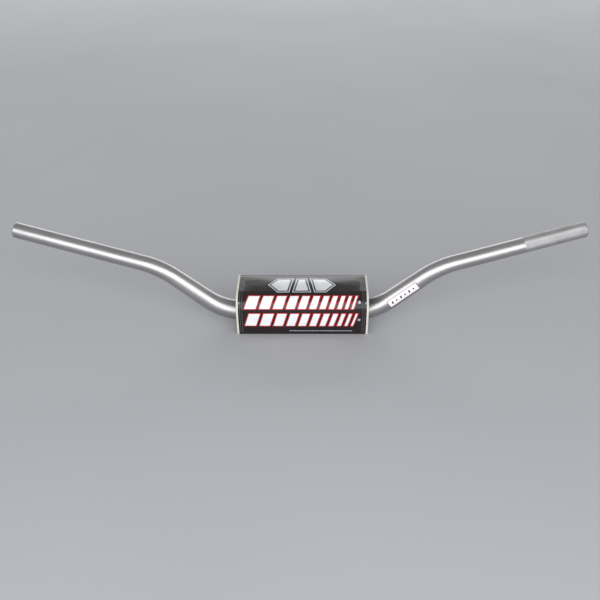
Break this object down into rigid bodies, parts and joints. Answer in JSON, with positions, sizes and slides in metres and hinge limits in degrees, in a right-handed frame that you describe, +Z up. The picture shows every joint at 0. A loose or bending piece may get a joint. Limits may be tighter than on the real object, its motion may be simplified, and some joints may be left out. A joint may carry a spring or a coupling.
{
  "type": "motorcycle handlebar",
  "caption": "Tapered off-road handlebar tube with a strapped-on foam safety pad over the clamp zone and a knurled left grip end.",
  "frame": {"origin": "on the tube axis at the middle of the clamp zone", "axes": "+X along the bar towards the rider's left grip, +Y towards the rider (the way the ends sweep back), +Z up"},
  "size_m": [0.803, 0.1, 0.1331],
  "materials": {
    "tube": "satin",
    "decal_film": "gloss",
    "foam": "matte",
    "cover_vinyl": "satin",
    "binding_tape": "matte",
    "strap_webbing": "matte",
    "hook_tape": "matte",
    "loop_tape": "matte"
  },
  "bodies": {
    "bar_and_pad": {"bar_tube": "tube", "bar_decal": "decal_film", "pad_foam": "foam", "pad_cover": "cover_vinyl", "edge_binding_left": "binding_tape", "edge_binding_right": "binding_tape", "strap_anchor_left": "strap_webbing", "loop_patch_left": "loop_tape", "strap_anchor_centre": "strap_webbing", "loop_patch_centre": "loop_tape", "strap_anchor_right": "strap_webbing", "loop_patch_right": "loop_tape"},
    "strap_left_flap": {"strap_left": "strap_webbing", "hook_patch_left": "hook_tape"},
    "strap_centre_flap": {"strap_centre": "strap_webbing", "hook_patch_centre": "hook_tape"},
    "strap_right_flap": {"strap_right": "strap_webbing", "hook_patch_right": "hook_tape"}
  },
  "joints": [
    {"name": "strap_left_opens", "type": "hinge", "parent": "bar_and_pad", "child": "strap_left_flap", "pos_m": [0.0838, 0.0316, -0.0187], "axis": [1, 0, 0], "range_deg": [0, 179.5]},
    {"name": "strap_centre_opens", "type": "hinge", "parent": "bar_and_pad", "child": "strap_centre_flap", "pos_m": [0.0048, 0.0316, -0.0187], "axis": [1, 0, 0], "range_deg": [0, 179.5]},
    {"name": "strap_right_opens", "type": "hinge", "parent": "bar_and_pad", "child": "strap_right_flap", "pos_m": [-0.0742, 0.0316, -0.0187], "axis": [1, 0, 0], "range_deg": [0, 179.5]}
  ]
}
